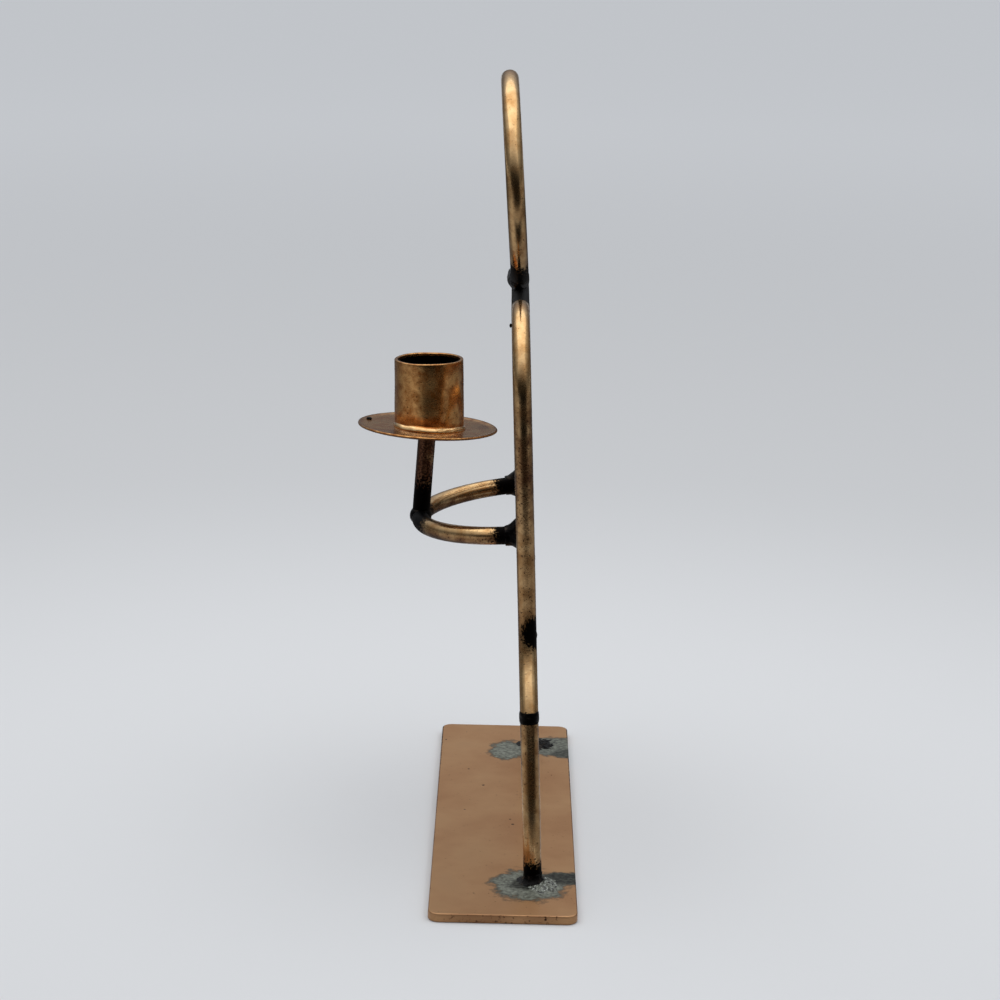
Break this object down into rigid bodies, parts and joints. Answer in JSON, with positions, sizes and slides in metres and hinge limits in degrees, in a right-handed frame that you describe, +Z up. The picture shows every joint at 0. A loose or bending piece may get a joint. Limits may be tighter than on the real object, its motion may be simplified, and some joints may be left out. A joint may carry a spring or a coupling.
{
  "type": "spiral candle holder",
  "caption": "Welded candle holder of bent round rod: a scrolled figure on a flat bar foot holds a drip pan and candle cup on a half ring at its side.",
  "frame": {"origin": "middle of the flat bar foot's underside", "axes": "+Z up, Y along the foot, -X towards the candle cup"},
  "size_m": [0.0817, 0.2032, 0.2771],
  "materials": {
    "rod_lacquer": "glossy bronze-coloured lacquer with fine dark speckle",
    "plate_lacquer": "satin bronze-coloured lacquer",
    "cup_lacquer": "half-gloss antique bronze lacquer",
    "sooted_weld": "rough, sooted black",
    "bright_solder": "smooth, bright"
  },
  "bodies": {
    "root": {"base_plate": "plate_lacquer", "front_leg": "rod_lacquer", "rear_leg": "rod_lacquer", "outer_frame": "rod_lacquer", "spiral_scroll": "rod_lacquer", "crown_ring": "rod_lacquer", "candle_arch": "rod_lacquer", "candle_post": "rod_lacquer", "drip_pan": "cup_lacquer", "candle_cup": "cup_lacquer", "weld_front_foot": "sooted_weld", "weld_rear_foot": "sooted_weld", "weld_front_leg_top": "sooted_weld", "weld_rear_leg_top": "sooted_weld", "weld_crown_ring": "sooted_weld", "weld_spiral_tail": "sooted_weld", "weld_spiral_front": "sooted_weld", "weld_spiral_rear": "sooted_weld", "weld_arch_front": "sooted_weld", "weld_arch_rear": "sooted_weld", "weld_post_foot": "sooted_weld", "weld_post_head": "sooted_weld", "cup_solder": "bright_solder", "spatter_pan_lip": "sooted_weld", "spatter_frame_corner": "sooted_weld"}
  },
  "joints": []
}
